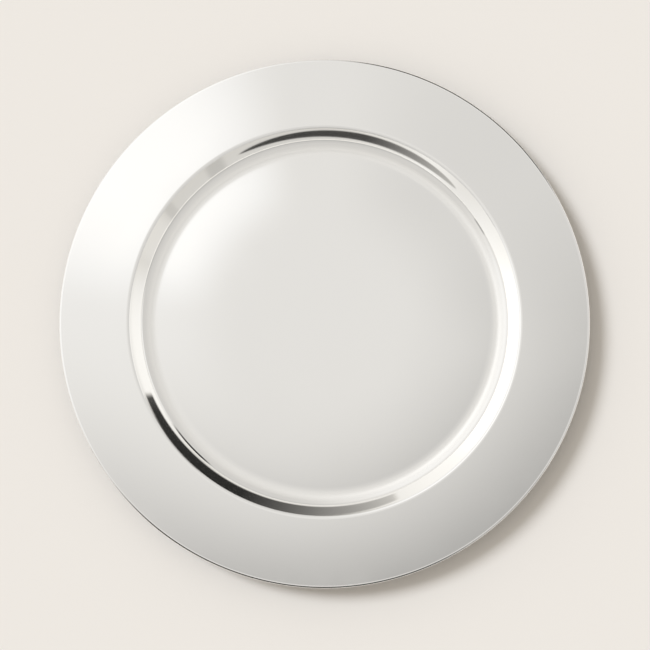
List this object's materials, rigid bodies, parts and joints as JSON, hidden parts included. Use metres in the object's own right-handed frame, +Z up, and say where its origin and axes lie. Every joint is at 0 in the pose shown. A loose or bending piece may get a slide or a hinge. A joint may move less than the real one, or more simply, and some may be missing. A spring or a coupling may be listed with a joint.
{
  "type": "charger plate",
  "caption": "Round polished silver charger plate: wide, nearly level rim with a wired rolled edge around a shallow flat-floored well that a dinner plate sits in, on soft bumper feet.",
  "frame": {"origin": "on the table under the middle of the plate, at the bottom of the bumper feet", "axes": "+Z up along the plate's axis; the plate is round, so X and Y are any two level directions, with the feet on the diagonals between them"},
  "size_m": [0.33, 0.33, 0.0161],
  "materials": {
    "silver_plate": "polished silver plate on sheet steel, mirror bright, underside satin",
    "edge_wire": "drawn steel wire, plain",
    "bumper": "soft milky polyurethane, satin"
  },
  "bodies": {
    "root": {"plate_body": "silver_plate", "edge_wire": "edge_wire", "bumper_foot_1": "bumper", "bumper_foot_2": "bumper", "bumper_foot_3": "bumper", "bumper_foot_4": "bumper"}
  },
  "joints": []
}
